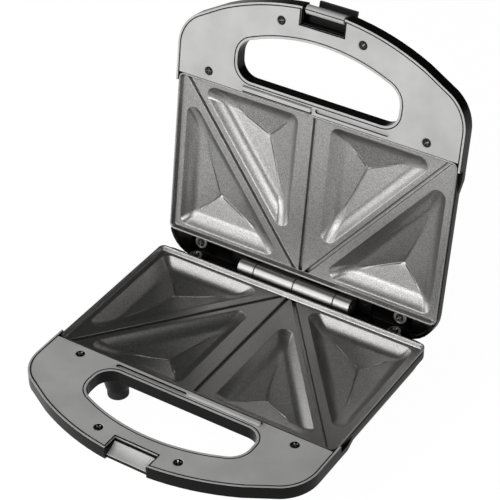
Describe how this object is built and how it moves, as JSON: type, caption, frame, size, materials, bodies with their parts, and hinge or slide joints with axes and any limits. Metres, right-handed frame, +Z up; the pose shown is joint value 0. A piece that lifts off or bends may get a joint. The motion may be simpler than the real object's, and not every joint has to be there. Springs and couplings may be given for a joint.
{
  "type": "sandwich toaster",
  "caption": "Countertop sandwich toaster with a hinged lid, pocketed non-stick plates, D-shaped carrying handles and a folding catch.",
  "frame": {"origin": "on the counter, under the middle of the part as it stands open", "axes": "+Z up, -Y towards the handles, +X to the right seen from the handles"},
  "size_m": [0.2254, 0.2642, 0.2509],
  "materials": {
    "housing": "black moulded thermoset, glossy",
    "handle_trim": "silver-grey moulding, satin",
    "plate": "die casting with a dark grey speckled non-stick coating",
    "element_tube": "sheathed heating tube",
    "rubber": "matt black rubber",
    "inner_plastic": "pale heat-resistant plastic",
    "red_lens": "clear red",
    "green_lens": "clear green",
    "catch": "black, glossy",
    "steel": "plated steel",
    "dark_screws": "blackened steel"
  },
  "bodies": {
    "base": {"base_housing": "housing", "base_handle_trim": "handle_trim", "base_trim_screws": "dark_screws", "base_plate": "plate", "base_plate_screws": "dark_screws", "base_heating_element": "element_tube", "base_heat_shield": "steel", "base_shield_screws": "steel", "thermostat": "inner_plastic", "thermal_fuse": "inner_plastic", "terminal_block": "inner_plastic", "cord_gland": "rubber", "foot_rear_left": "rubber", "foot_rear_right": "rubber", "foot_front_left": "rubber", "foot_front_right": "rubber", "hinge_base_leaf": "steel", "hinge_base_screws": "steel", "hinge_pin": "steel"},
    "lid": {"lid_housing": "housing", "lid_handle_trim": "handle_trim", "lid_trim_screws": "dark_screws", "lid_plate": "plate", "lid_plate_screws": "dark_screws", "lid_heating_element": "element_tube", "lid_heat_shield": "steel", "lid_shield_screws": "steel", "power_lamp_lens": "red_lens", "ready_lamp_lens": "green_lens", "lamp_holder": "inner_plastic", "hinge_lid_leaf": "steel", "hinge_lid_screws": "steel", "latch_pin": "steel"},
    "latch": {"latch_clip": "catch"}
  },
  "joints": [
    {"name": "lid_hinge", "type": "hinge", "parent": "base", "child": "lid", "pos_m": [0, 0.07735, 0.044], "axis": [1, 0, 0], "range_deg": [0, 99]},
    {"name": "latch_hinge", "type": "hinge", "parent": "lid", "child": "latch", "pos_m": [0, 0.11462, 0.24737], "axis": [1, 0, 0], "range_deg": [0, 188]}
  ]
}
